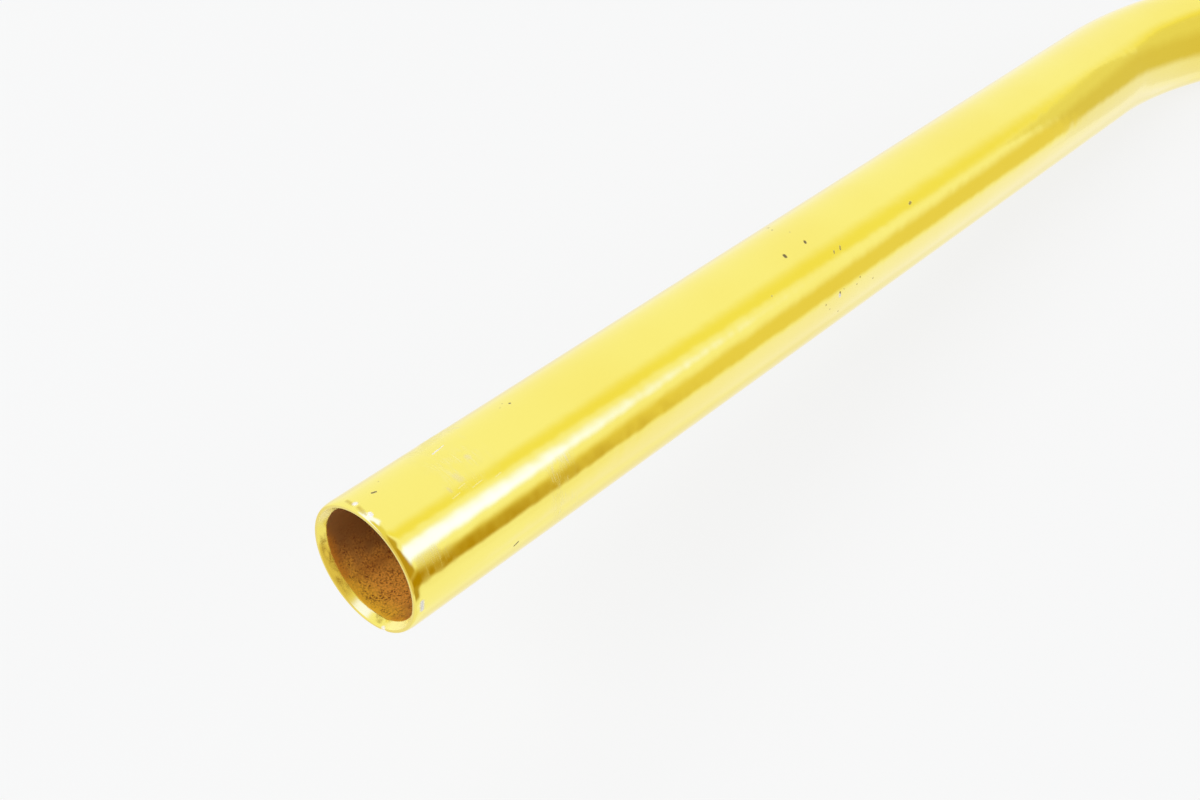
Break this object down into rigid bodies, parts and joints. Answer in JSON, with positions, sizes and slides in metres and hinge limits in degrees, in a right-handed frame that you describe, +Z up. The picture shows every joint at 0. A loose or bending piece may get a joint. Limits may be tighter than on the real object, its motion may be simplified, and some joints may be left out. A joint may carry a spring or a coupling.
{
  "type": "riser handlebar",
  "caption": "Bent tubular bicycle handlebar with a thicker centre clamp, rising shoulders and swept straight grip ends with open bores, in worn gold aluminium.",
  "frame": {"origin": "middle of the stem clamp, on the tube's axis", "axes": "+X along the clamp towards the rider's right hand, +Z up from the table that the bar lies on, which is the way the grips sweep back, and +Y towards the side that the bar rises to"},
  "size_m": [0.7452, 0.087, 0.0585],
  "materials": {
    "gold_anodised": "gold anodised over a fine circumferential polish, with pits, scuffs and a worn, dirty rim; brown bore"
  },
  "bodies": {
    "root": {"handlebar": "gold_anodised"}
  },
  "joints": []
}
